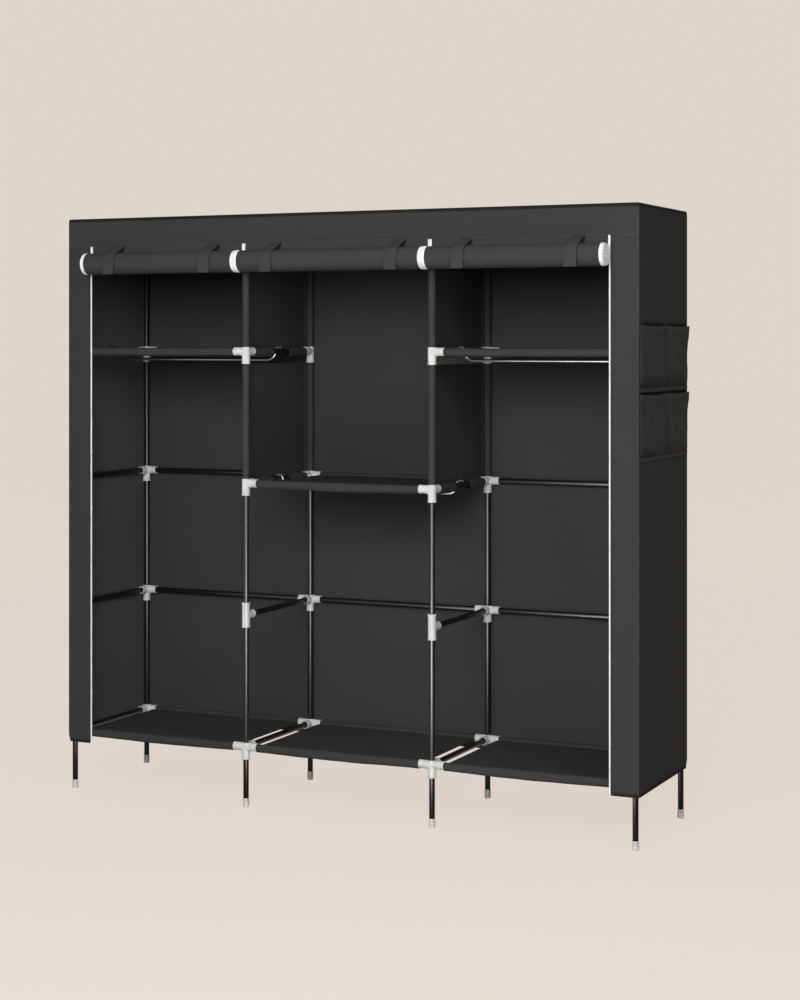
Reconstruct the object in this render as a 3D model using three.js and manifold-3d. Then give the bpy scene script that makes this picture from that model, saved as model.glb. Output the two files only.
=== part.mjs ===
// Portable fabric wardrobe: three hanging bays on a plug-together frame of steel tube, a fabric cover
// with three roll-up doors, cloth shelves, hanging rods and pockets on the right side.
// Millimetres, Z up, X to the right and Y to the back as seen by someone standing in front of it.
// The origin lies on the floor, below the middle of the whole object's box.

import * as THREE from 'three';
import { mergeVertices } from 'three/addons/utils/BufferGeometryUtils.js';
import Module from 'manifold-3d';

const wasm = await Module();
wasm.setup();

// Overall cover
const COVER_WIDTH = 1890;
const COVER_DEPTH = 450;
const COVER_HEIGHT = 1800;
const COVER_BOTTOM = 150;
const CLOTH = 1.6;
const CLEAR = 0.3;

// Frame of tube and plug-in connectors
const TUBE_RADIUS = 8.5;
const TUBE_WALL = 1;
const CONNECTOR_RADIUS = 13;
const CONNECTOR_CROWN = 13.5;
const CONNECTOR_REACH = 40;
const CONNECTOR_DROP = 38;
const SOCKET_DEPTH = 25;
const FOOT_RADIUS = 9.8;
const FOOT_HEIGHT = 27;
const BOTTOM_LEVEL = 183;
const ROUND_SIDES = 8;

// Front of the cover
const HEADER_HEIGHT = 88;
const STRIP_WIDTH = 78.6;
const ZIP_WIDTH = 6.7;
const DOOR_PARTING = 6;

// Rolled-up doors
const ROLL_CORE = 8;
const LAYER_GAP = 0.68;
const ROLL_DROP = 55;
const STEPS_A_TURN = 10;

// Straps that hold the rolls
const STRAP_WIDTH = 38;
const STRAP_THICKNESS = 1.5;
const STRAP_SLACK = 0.6;

// Shelves and dividers
const SLEEVE_DROP = 3.7;
const SHELF_SLIT = 27;
const SHELF_CORNER_CLEAR = 1;
const DIVIDER_THICKNESS = 2.4;
const DIVIDER_HEM_CLEAR = 20;
const DIVIDER_EDGE = 8;

// Hanging rods
const ROD_RADIUS = 4.5;
const ROD_DROP = 27;
const ROD_TRAVEL = 45;
const ROD_SLOT_CLEAR = 4;
const HOOK_WRAP = THREE.MathUtils.degToRad(130);
const HOOK_STEPS = 9;
const ROD_SIDES = 6;

// Side pockets
const POCKET_DROP = 340;
const POCKET_HEIGHT = 186;
const POCKET_ROW_GAP = 8;
const POCKET_GAPE = 6;
const POCKET_INSET = 3;

const OVERRUN = 2;

const BAYS = ['left', 'middle', 'right'];
const LEVELS = ['bottom', 'lower', 'middle', 'upper', 'top'];
const COLUMNS = ['end_frame_left', 'inner_frame_left', 'inner_frame_right', 'end_frame_right'];
const ROWS = { front: -1, back: 1 };

// Bays that have a rail across, for each row and level
const RAILS = {
  front: { bottom: ['left', 'middle', 'right'], lower: [], middle: ['middle'],
    upper: ['left', 'right'], top: ['left', 'middle', 'right'] },
  back: { bottom: ['left', 'middle', 'right'], lower: ['left', 'middle', 'right'],
    middle: ['left', 'middle', 'right'], upper: ['left', 'right'],
    top: ['left', 'middle', 'right'] },
};
const SHELVES = [
  ['bottom', 'left'], ['bottom', 'middle'], ['bottom', 'right'],
  ['upper', 'left'], ['middle', 'middle'], ['upper', 'right'],
];
const RODS = { left: 'upper', middle: 'middle', right: 'upper' };

// Where the right edge of each strap lies across its door, as a share of the door's width
const STRAP_EDGE_SHARES = { left: [0.228, 0.854], middle: [0.207, 0.879], right: [0.239, 0.869] };

// Places that follow from the sizes above
const sideInner = COVER_WIDTH / 2 - CLOTH;
const faceInner = COVER_DEPTH / 2 - CLOTH;
const roofUnder = COVER_HEIGHT - CLOTH;
const endColumn = sideInner - CLEAR - CONNECTOR_RADIUS;
const rowY = faceInner - CLEAR - CONNECTOR_RADIUS;
const topLevel = roofUnder - CLEAR - CONNECTOR_CROWN;
const bayPitch = 2 * endColumn / BAYS.length;
const levelPitch = (topLevel - BOTTOM_LEVEL) / (LEVELS.length - 1);
const columnX = (column) => column * bayPitch - endColumn;
const levelZ = (level) => BOTTOM_LEVEL + LEVELS.indexOf(level) * levelPitch;
const headerBottom = COVER_HEIGHT - HEADER_HEIGHT;
const stripInner = sideInner - CLEAR - STRIP_WIDTH;
const zipInner = stripInner - CLEAR - ZIP_WIDTH;
const doorOuter = zipInner - CLEAR;
const layerPitch = CLOTH + LAYER_GAP;
const rollZ = headerBottom - ROLL_DROP;
const rolledLength = rollZ - COVER_BOTTOM;
const rollRadius = Math.sqrt(ROLL_CORE ** 2 + rolledLength * layerPitch / Math.PI);
const rollY = -COVER_DEPTH / 2 - CLEAR - rollRadius;
const pocketDepth = CLOTH + POCKET_GAPE + CLOTH;

// The group is shifted so that the origin is below the middle of the whole box
const boxRight = COVER_WIDTH / 2 + CLEAR + pocketDepth;
const strapReach = rollRadius + STRAP_SLACK + STRAP_THICKNESS;
const boxFront = rollY - strapReach;
const shiftX = (COVER_WIDTH / 2 - boxRight) / 2;
const shiftY = -(boxFront + COVER_DEPTH / 2) / 2;

const FINISH = {
  steel: { color: 0x2b2c2e, roughness: 0.38, metalness: 0.2 },
  frame: { color: 0x3a3b3d, roughness: 0.4, metalness: 0.15 },
  cloth: { color: 0x3b3b3d, roughness: 0.95, metalness: 0 },
  shelf: { color: 0x2c2c2e, roughness: 0.95, metalness: 0 },
  door: { color: 0x414143, roughness: 0.9, metalness: 0 },
  strap: { color: 0x303032, roughness: 0.9, metalness: 0 },
  zip: { color: 0xf2f2f0, roughness: 0.5, metalness: 0 },
};
for (const [name, finish] of Object.entries(FINISH)) {
  FINISH[name] = new THREE.MeshStandardMaterial(finish);
}

const wardrobe = new THREE.Group();
wardrobe.position.set(shiftX, shiftY, 0);

function addPiece(name, geometry, finish) {
  const mesh = new THREE.Mesh(geometry, FINISH[finish]);
  mesh.name = name;
  wardrobe.add(mesh);
  return mesh;
}

// Solid modelling helpers

function solidOf(geometry) {
  const bare = geometry.clone();
  bare.deleteAttribute('normal');
  bare.deleteAttribute('uv');
  const merged = mergeVertices(bare);
  return new wasm.Manifold(new wasm.Mesh({
    numProp: 3,
    vertProperties: new Float32Array(merged.attributes.position.array),
    triVerts: new Uint32Array(merged.index.array),
  }));
}

function geometryOf(solid) {
  const mesh = solid.getMesh();
  const geometry = new THREE.BufferGeometry();
  geometry.setAttribute('position', new THREE.BufferAttribute(mesh.vertProperties, mesh.numProp));
  geometry.setIndex(new THREE.BufferAttribute(mesh.triVerts, 1));
  geometry.computeVertexNormals();
  return geometry;
}

function join(solids) {
  return solids.reduce((whole, solid) => whole.add(solid));
}

function boxGeometry(low, high) {
  const size = high.map((value, axis) => value - low[axis]);
  const geometry = new THREE.BoxGeometry(...size);
  geometry.translate(...high.map((value, axis) => (value + low[axis]) / 2));
  return geometry;
}

// A round bar whose axis runs along one of x, y and z between two places
function barGeometry(radius, axis, from, to, centre) {
  const geometry = new THREE.CylinderGeometry(radius, radius, Math.abs(to - from), ROUND_SIDES);
  if (axis === 'x') geometry.rotateZ(Math.PI / 2);
  if (axis === 'z') geometry.rotateX(Math.PI / 2);
  const place = new THREE.Vector3(...centre);
  place[axis] = (from + to) / 2;
  geometry.translate(place.x, place.y, place.z);
  return geometry;
}

// Turns a profile drawn in the (y, z) plane and extruded from zero into one that runs along x
function alongX(shape, from, to) {
  const geometry = new THREE.ExtrudeGeometry(shape, { depth: to - from, bevelEnabled: false,
    curveSegments: ROUND_SIDES / 2 });
  const basis = new THREE.Matrix4().makeBasis(new THREE.Vector3(0, 1, 0),
    new THREE.Vector3(0, 0, 1), new THREE.Vector3(1, 0, 0));
  geometry.applyMatrix4(basis);
  geometry.translate(from, 0, 0);
  return geometry;
}

// Frame: each of the four columns is a front and a back upright, joined by a tube at every level

function railArms(column, row, level) {
  const arms = [];
  const bays = RAILS[row][level];
  if (bays.includes(BAYS[column])) arms.push(1);
  if (bays.includes(BAYS[column - 1])) arms.push(-1);
  return arms;
}

function connectorSolids(column, row, level) {
  const x = columnX(column);
  const y = ROWS[row] * rowY;
  const z = levelZ(level);
  const straightTee = row === 'front' && level === 'lower';
  const sleeveTop = z + (straightTee ? CONNECTOR_DROP : CONNECTOR_CROWN);
  const inward = y - ROWS[row] * CONNECTOR_REACH;
  const pieces = [
    barGeometry(CONNECTOR_RADIUS, 'z', z - CONNECTOR_DROP, sleeveTop, [x, y, z]),
    barGeometry(CONNECTOR_RADIUS, 'y', y, inward, [x, y, z]),
  ];
  for (const side of railArms(column, row, level)) {
    pieces.push(barGeometry(CONNECTOR_RADIUS, 'x', x, x + side * CONNECTOR_REACH, [x, y, z]));
  }
  return pieces.map(solidOf);
}

function socketSolids(column, row, level) {
  const x = columnX(column);
  const y = ROWS[row] * rowY;
  const z = levelZ(level);
  return railArms(column, row, level).map((side) => {
    const bottom = x + side * (CONNECTOR_REACH - SOCKET_DEPTH);
    const mouth = x + side * (CONNECTOR_REACH + OVERRUN);
    return solidOf(barGeometry(TUBE_RADIUS + CLEAR, 'x', bottom, mouth, [x, y, z]));
  });
}

function columnGeometry(column) {
  const x = columnX(column);
  const bodies = [];
  const sockets = [];
  for (const row of Object.keys(ROWS)) {
    const y = ROWS[row] * rowY;
    bodies.push(solidOf(barGeometry(TUBE_RADIUS, 'z', FOOT_HEIGHT / 2, topLevel, [x, y, 0])));
    bodies.push(solidOf(barGeometry(FOOT_RADIUS, 'z', 0, FOOT_HEIGHT, [x, y, 0])));
    for (const level of LEVELS) {
      bodies.push(...connectorSolids(column, row, level));
      sockets.push(...socketSolids(column, row, level));
    }
  }
  for (const level of LEVELS) {
    bodies.push(solidOf(barGeometry(TUBE_RADIUS, 'y', -rowY, rowY, [x, 0, levelZ(level)])));
  }
  return geometryOf(join(bodies).subtract(join(sockets)));
}

function railGeometry() {
  const half = bayPitch / 2 - (CONNECTOR_REACH - SOCKET_DEPTH) - CLEAR;
  const bore = TUBE_RADIUS - TUBE_WALL;
  const profile = [[bore, -half], [TUBE_RADIUS, -half], [TUBE_RADIUS, half], [bore, half], [bore, -half]];
  const points = profile.map(([radius, along]) => new THREE.Vector2(radius, along));
  const geometry = new THREE.LatheGeometry(points, ROUND_SIDES);
  geometry.rotateZ(Math.PI / 2);
  return geometry;
}

const bayCentre = (bay) => columnX(BAYS.indexOf(bay)) + bayPitch / 2;

function buildFrame() {
  COLUMNS.forEach((name, column) => addPiece(name, columnGeometry(column), 'frame'));
  for (const row of Object.keys(ROWS)) {
    for (const level of LEVELS) {
      for (const bay of RAILS[row][level]) {
        const rail = addPiece(`rail_${row}_${level}_${bay}`, railGeometry(), 'steel');
        rail.position.set(bayCentre(bay), ROWS[row] * rowY, levelZ(level));
      }
    }
  }
}

// Cover: roof, back, two sides, a header and two strips beside the door openings

function buildCover() {
  const right = COVER_WIDTH / 2;
  const back = COVER_DEPTH / 2;
  const wallTop = roofUnder - CLEAR;
  const headerSide = sideInner - CLEAR;
  const panels = {
    cover_top: [[-right, -back, roofUnder], [right, back, COVER_HEIGHT]],
    cover_back: [[-right, faceInner, COVER_BOTTOM], [right, back, wallTop]],
    cover_side_left: [[-right, -back, COVER_BOTTOM], [-sideInner, faceInner - CLEAR, wallTop]],
    cover_side_right: [[sideInner, -back, COVER_BOTTOM], [right, faceInner - CLEAR, wallTop]],
    cover_header: [[-headerSide, -back, headerBottom], [headerSide, -faceInner, wallTop]],
  };
  for (const [name, [low, high]] of Object.entries(panels)) {
    addPiece(name, boxGeometry(low, high), 'cloth');
  }
  const stripTop = headerBottom - CLEAR;
  for (const [side, name] of [[-1, 'left'], [1, 'right']]) {
    const strip = [side * stripInner, side * headerSide].sort((a, b) => a - b);
    const zip = [side * zipInner, side * (zipInner + ZIP_WIDTH)].sort((a, b) => a - b);
    addPiece(`cover_strip_${name}`,
      boxGeometry([strip[0], -back, COVER_BOTTOM], [strip[1], -faceInner, stripTop]), 'cloth');
    addPiece(`zip_tape_${name}`,
      boxGeometry([zip[0], -back, COVER_BOTTOM], [zip[1], -faceInner, stripTop]), 'zip');
  }
}

// Doors: cloth wound up from its lower edge, in front of the opening

function doorSpan(bay) {
  const index = BAYS.indexOf(bay);
  const from = index === 0 ? -doorOuter : columnX(index) + DOOR_PARTING / 2;
  const to = index === BAYS.length - 1 ? doorOuter : columnX(index + 1) - DOOR_PARTING / 2;
  return [from, to];
}

// The wound cloth seen from its end: it leaves the hanging panel at the back and winds down,
// forward and up, inwards to the core
function windingPoints() {
  const turns = (rollRadius - ROLL_CORE) / layerPitch - 1;
  const steps = Math.round(turns * STEPS_A_TURN);
  const outer = [];
  const inner = [];
  for (let step = 0; step <= steps; step += 1) {
    const turn = step / STEPS_A_TURN;
    const angle = -turn * 2 * Math.PI;
    const radius = rollRadius - turn * layerPitch;
    outer.push(new THREE.Vector2(radius * Math.cos(angle), radius * Math.sin(angle)));
    inner.push(new THREE.Vector2((radius - CLOTH) * Math.cos(angle), (radius - CLOTH) * Math.sin(angle)));
  }
  return { outer, inner };
}

// Least distance between one turn's inner face and the outer face of the next turn inwards
function leastWindingGap({ outer, inner }) {
  let least = Infinity;
  for (let step = 0; step + STEPS_A_TURN < outer.length; step += 1) {
    least = Math.min(least, inner[step].distanceTo(outer[step + STEPS_A_TURN]));
  }
  return least;
}

function buildDoors() {
  const winding = windingPoints();
  console.log(`least gap between the turns of a rolled door: ${leastWindingGap(winding).toFixed(2)} mm`);
  const outline = new THREE.Shape([...winding.outer, ...winding.inner.reverse()]);
  for (const bay of BAYS) {
    const [from, to] = doorSpan(bay);
    const roll = addPiece(`door_roll_${bay}`, alongX(outline, from, to), 'door');
    roll.position.set(0, rollY, rollZ);
    addPiece(`door_panel_${bay}`, boxGeometry([from, -COVER_DEPTH / 2, rollZ],
      [to, -faceInner, headerBottom - CLEAR]), 'door');
  }
}

// Straps: each hangs from the header's edge, passes over the roll and down its front

function strapShape() {
  const seam = CLEAR + STRAP_THICKNESS / 2;
  const root = new THREE.Vector2(-COVER_DEPTH / 2 - seam, headerBottom - seam);
  const centre = new THREE.Vector2(rollY, rollZ);
  const radius = rollRadius + STRAP_SLACK;
  const toCentre = centre.clone().sub(root);
  const middle = radius + STRAP_THICKNESS / 2;
  const lean = Math.asin(middle / toCentre.length());
  const slope = toCentre.angle() - lean;
  const meet = slope - Math.PI / 2;
  const across = new THREE.Vector2(Math.cos(meet), Math.sin(meet)).multiplyScalar(STRAP_THICKNESS / 2);
  const tail = rollZ - rollRadius;
  const shape = new THREE.Shape();
  shape.moveTo(root.x - across.x, root.y - across.y);
  shape.lineTo(root.x + across.x, root.y + across.y);
  shape.absarc(centre.x, centre.y, radius + STRAP_THICKNESS, meet, Math.PI, false);
  shape.lineTo(centre.x - radius - STRAP_THICKNESS, tail);
  shape.lineTo(centre.x - radius, tail);
  shape.absarc(centre.x, centre.y, radius, Math.PI, meet, true);
  shape.closePath();
  return shape;
}

function buildStraps() {
  const shape = strapShape();
  for (const bay of BAYS) {
    const [from, to] = doorSpan(bay);
    STRAP_EDGE_SHARES[bay].forEach((share, index) => {
      const edge = from + share * (to - from);
      addPiece(`strap_${bay}_${index + 1}`, alongX(shape, edge - STRAP_WIDTH, edge), 'strap');
    });
  }
}

// Shelves: a cloth web at the height of the rails' middle, sewn to a sleeve round each rail

function sleeveShape(y, z) {
  const bore = TUBE_RADIUS + CLEAR;
  const shape = new THREE.Shape();
  shape.absarc(y, z, bore + CLOTH, 0, Math.PI, false);
  shape.absarc(y, z - SLEEVE_DROP, bore + CLOTH, Math.PI, 2 * Math.PI, false);
  const hole = new THREE.Path();
  hole.absarc(y, z, bore, 0, Math.PI, false);
  hole.absarc(y, z - SLEEVE_DROP, bore, Math.PI, 2 * Math.PI, false);
  shape.holes.push(hole);
  return shape;
}

function shelfGeometry(level, bay) {
  const centre = bayCentre(bay);
  const z = levelZ(level);
  const sleeveHalf = bayPitch / 2 - CONNECTOR_REACH - CLEAR;
  const webHalf = bayPitch / 2 - TUBE_RADIUS - SHELF_SLIT;
  const cornerY = rowY - CONNECTOR_RADIUS - SHELF_CORNER_CLEAR;
  const seamY = rowY - TUBE_RADIUS - CLEAR - CLOTH / 2;
  const webLow = z - CLOTH / 2;
  const pieces = [
    boxGeometry([centre - sleeveHalf, -seamY, webLow], [centre + sleeveHalf, seamY, webLow + CLOTH]),
    boxGeometry([centre - webHalf, -cornerY, webLow], [centre + webHalf, cornerY, webLow + CLOTH]),
  ];
  for (const row of Object.values(ROWS)) {
    pieces.push(alongX(sleeveShape(row * rowY, z), centre - sleeveHalf, centre + sleeveHalf));
  }
  return geometryOf(join(pieces.map(solidOf)));
}

function buildShelves() {
  for (const [level, bay] of SHELVES) {
    addPiece(`shelf_${level}_${bay}`, shelfGeometry(level, bay), 'shelf');
  }
}

// Dividers: each is doubled cloth that hangs from the roof beside an inner frame, down to the
// middle level. A gap under the tube of the upper level lies between its upper and lower cloth,
// and the slot above the gap is where the hook of a hanging rod slides

function dividerGeometry(column) {
  const right = columnX(column) - CONNECTOR_RADIUS - CLEAR;
  const left = right - DIVIDER_THICKNESS;
  const half = rowY - CONNECTOR_RADIUS - CLEAR;
  const bottom = levelZ('middle') + DIVIDER_HEM_CLEAR;
  const tubeLow = levelZ('upper') - TUBE_RADIUS - CLEAR;
  const gapLow = levelZ('upper') - CONNECTOR_DROP;
  const gapHalf = half - DIVIDER_EDGE;
  const slotHalf = ROD_TRAVEL + ROD_RADIUS + ROD_SLOT_CLEAR;
  const slotTop = levelZ('upper') + TUBE_RADIUS + CLEAR + 2 * ROD_RADIUS + ROD_SLOT_CLEAR;
  const panel = boxGeometry([left, -half, bottom], [right, half, roofUnder - CLEAR]);
  const gap = boxGeometry([left - OVERRUN, -gapHalf, gapLow], [right + OVERRUN, gapHalf, tubeLow]);
  const slot = boxGeometry([left - OVERRUN, -slotHalf, gapLow], [right + OVERRUN, slotHalf, slotTop]);
  return geometryOf(solidOf(panel).subtract(join([gap, slot].map(solidOf))));
}

function buildDividers() {
  addPiece('divider_left', dividerGeometry(1), 'cloth');
  addPiece('divider_right', dividerGeometry(2), 'cloth');
}

// Hanging rods: a straight bar under the shelf whose ends hook over the frame's tubes

class HookCurve extends THREE.Curve {
  // side is 1 where the bay lies to the right of the tube; the hook rises beside the tube
  // and wraps over its top
  constructor(side) {
    super();
    this.side = side;
    this.radius = TUBE_RADIUS + CLEAR + ROD_RADIUS;
    this.bend = ROD_DROP;
  }

  getPoint(share, target = new THREE.Vector3()) {
    const lower = this.bend * Math.PI / 2;
    const over = this.radius * HOOK_WRAP;
    const travelled = share * (lower + over);
    if (travelled < lower) {
      const angle = travelled / this.bend;
      const across = this.radius + this.bend * (1 - Math.sin(angle));
      return target.set(this.side * across, 0, -this.bend * Math.cos(angle));
    }
    const angle = (travelled - lower) / this.radius;
    return target.set(this.side * this.radius * Math.cos(angle), 0, this.radius * Math.sin(angle));
  }
}

function sectionShape(radius, sides) {
  const points = [];
  for (let side = 0; side < sides; side += 1) {
    const angle = (side + 1 / 2) * 2 * Math.PI / sides;
    points.push(new THREE.Vector2(radius * Math.cos(angle), radius * Math.sin(angle)));
  }
  return new THREE.Shape(points);
}

function rodGeometry(bay) {
  const half = bayPitch / 2;
  const hookStart = TUBE_RADIUS + CLEAR + ROD_RADIUS + ROD_DROP;
  const bar = new THREE.ExtrudeGeometry(sectionShape(ROD_RADIUS, ROD_SIDES), {
    depth: 2 * (half - hookStart + CLEAR), bevelEnabled: false });
  bar.translate(0, 0, -(half - hookStart + CLEAR));
  bar.rotateY(Math.PI / 2);
  bar.translate(0, 0, -ROD_DROP);
  const pieces = [solidOf(bar)];
  for (const side of [1, -1]) {
    const hook = new THREE.ExtrudeGeometry(sectionShape(ROD_RADIUS, ROD_SIDES), {
      steps: HOOK_STEPS, extrudePath: new HookCurve(side) });
    hook.translate(-side * half, 0, 0);
    pieces.push(solidOf(hook));
  }
  const geometry = geometryOf(join(pieces));
  geometry.translate(bayCentre(bay), 0, levelZ(RODS[bay]));
  return geometry;
}

function buildRods() {
  for (const bay of Object.keys(RODS)) addPiece(`hanging_rod_${bay}`, rodGeometry(bay), 'steel');
}

// Pockets: two rows of two on a backing sheet that is sewn to the right side of the cover

function pocketGeometry() {
  const back = COVER_WIDTH / 2 + CLEAR;
  const inside = back + CLOTH;
  const half = COVER_DEPTH / 2 - POCKET_INSET;
  const pocketTop = COVER_HEIGHT - POCKET_DROP;
  const rowTops = [pocketTop, pocketTop - POCKET_HEIGHT - POCKET_ROW_GAP];
  const bottom = rowTops[1] - POCKET_HEIGHT;
  const pieces = [boxGeometry([back, -half, bottom], [inside, half, pocketTop])];
  const hollows = [];
  for (const top of rowTops) {
    pieces.push(boxGeometry([back, -half, top - POCKET_HEIGHT], [back + pocketDepth, half, top]));
    for (const side of [-1, 1]) {
      const ends = [side * CLOTH / 2, side * (half - CLOTH)].sort((a, b) => a - b);
      hollows.push(boxGeometry([inside, ends[0], top - POCKET_HEIGHT + CLOTH],
        [inside + POCKET_GAPE, ends[1], top + OVERRUN]));
    }
  }
  const whole = join(pieces.map(solidOf));
  return geometryOf(whole.subtract(join(hollows.map(solidOf))));
}

buildFrame();
buildCover();
buildDoors();
buildStraps();
buildShelves();
buildDividers();
buildRods();
addPiece('side_pockets', pocketGeometry(), 'door');

export default wardrobe;
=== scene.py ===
"""Looks of the portable fabric wardrobe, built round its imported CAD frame.

Lengths are millimetres about the middle of the cover, with the floor at zero. Solid.make turns them into
metres in the row frame.
"""
import itertools
from math import asin, atan2, cos, exp, pi, radians, sin, sqrt

import bmesh
import bpy
import numpy as np
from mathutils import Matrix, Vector, noise


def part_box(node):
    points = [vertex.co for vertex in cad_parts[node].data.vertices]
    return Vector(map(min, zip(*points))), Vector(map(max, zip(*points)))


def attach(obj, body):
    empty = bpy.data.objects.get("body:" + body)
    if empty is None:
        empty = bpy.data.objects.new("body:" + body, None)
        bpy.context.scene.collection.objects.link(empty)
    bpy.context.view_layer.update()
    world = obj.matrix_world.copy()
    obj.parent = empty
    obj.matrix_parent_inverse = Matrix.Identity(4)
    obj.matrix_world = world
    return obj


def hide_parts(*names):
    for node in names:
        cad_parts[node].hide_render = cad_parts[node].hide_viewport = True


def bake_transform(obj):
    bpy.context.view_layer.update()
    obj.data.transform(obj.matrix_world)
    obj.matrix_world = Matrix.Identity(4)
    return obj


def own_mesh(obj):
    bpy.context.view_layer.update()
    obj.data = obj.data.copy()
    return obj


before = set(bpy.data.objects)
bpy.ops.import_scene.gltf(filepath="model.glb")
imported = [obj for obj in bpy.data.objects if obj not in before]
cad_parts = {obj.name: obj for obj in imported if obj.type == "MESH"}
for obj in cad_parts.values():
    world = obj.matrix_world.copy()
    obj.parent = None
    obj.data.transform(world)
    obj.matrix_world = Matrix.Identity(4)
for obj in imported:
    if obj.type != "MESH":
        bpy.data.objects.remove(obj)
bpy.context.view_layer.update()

# Sizes shared with the CAD source
HALF_W, HALF_D, HEIGHT, HEM_Z = 945.0, 225.0, 1800.0, 150.0
CLOTH, CLEAR = 1.6, 0.3
TUBE_R, JOINT_R, CROWN, REACH, DROP = 8.5, 13.0, 13.5, 40.0, 38.0
HEADER_Z, BOTTOM_Z = 1712.0, 183.0
STRIP_X, ZIP_X, DOOR_X, DOOR_GAP = 864.5, 857.8, 857.5, 3.0
ROLL_CORE, ROLL_GAP, ROLL_Z = 8.0, 0.68, 1657.0
STRAP_W, STRAP_T, STRAP_SLACK = 38.0, 1.5, 0.6
ROD_R, ROD_DROP, ROD_SLOT = 4.5, 27.0, 53.5
POCKET_Z, POCKET_H, POCKET_GAP, SEAM_Y = HEIGHT - 340.0, 186.0, 8.0, 14.0
CENTRE = (0, 0, 900)

END_X = HALF_W - CLOTH - CLEAR - JOINT_R
ROW_Y = HALF_D - CLOTH - CLEAR - JOINT_R
TOP_Z = HEIGHT - CLOTH - CLEAR - CROWN
BAYS = ["left", "middle", "right"]
COLUMNS = ["end_left", "inner_left", "inner_right", "end_right"]
COLUMN_NODES = [name.replace("_", "_frame_") for name in COLUMNS]
COLUMN_X = [END_X * (2 * i / 3 - 1) for i in range(4)]
LEVEL_Z = dict(zip(["bottom", "lower", "middle", "upper", "top"], np.linspace(BOTTOM_Z, TOP_Z, 5)))
ROWS = {"front": -1, "back": 1}
ENDS = ["left", "right"]
RAILS = {"front": {"bottom": BAYS, "middle": ["middle"], "upper": ENDS, "top": BAYS},
         "back": {"bottom": BAYS, "lower": BAYS, "middle": BAYS, "upper": ENDS, "top": BAYS}}
PITCH = COLUMN_X[1] - COLUMN_X[0]
BAY_X = {bay: x + PITCH / 2 for bay, x in zip(BAYS, COLUMN_X)}
SHELVES = [("bottom", bay) for bay in BAYS] + [("upper", "left"), ("middle", "middle"), ("upper", "right")]
RODS = {"left": "upper", "middle": "middle", "right": "upper"}
STRAP_EDGES = {"left": [0.228, 0.854], "middle": [0.207, 0.879], "right": [0.239, 0.869]}
LAYER = CLOTH + ROLL_GAP
ROLL_R = sqrt(ROLL_CORE ** 2 + (ROLL_Z - HEM_Z) * LAYER / pi)
ROLL_Y = -HALF_D - CLEAR - ROLL_R

low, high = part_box("cover_top")
SHIFT = np.array([(low.x + high.x) / 2, (low.y + high.y) / 2, 0.0])


def smooth(t):
    t = min(max(t, 0.0), 1.0)
    return t * t * (3 - 2 * t)


def wave(*place):
    """A smooth random value from -1 to 1, the same in every run."""
    return noise.noise(Vector(place))


def ripple(x, y, z, size, amount, seed):
    return amount * wave(x / size + seed, y / size - seed, z / size + 2 * seed)


# Meshes

STITCH_PITCH, STITCH = 6.0, (3.9, 0.9, 0.35)


def unit(v):
    return v / np.linalg.norm(v)


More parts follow.
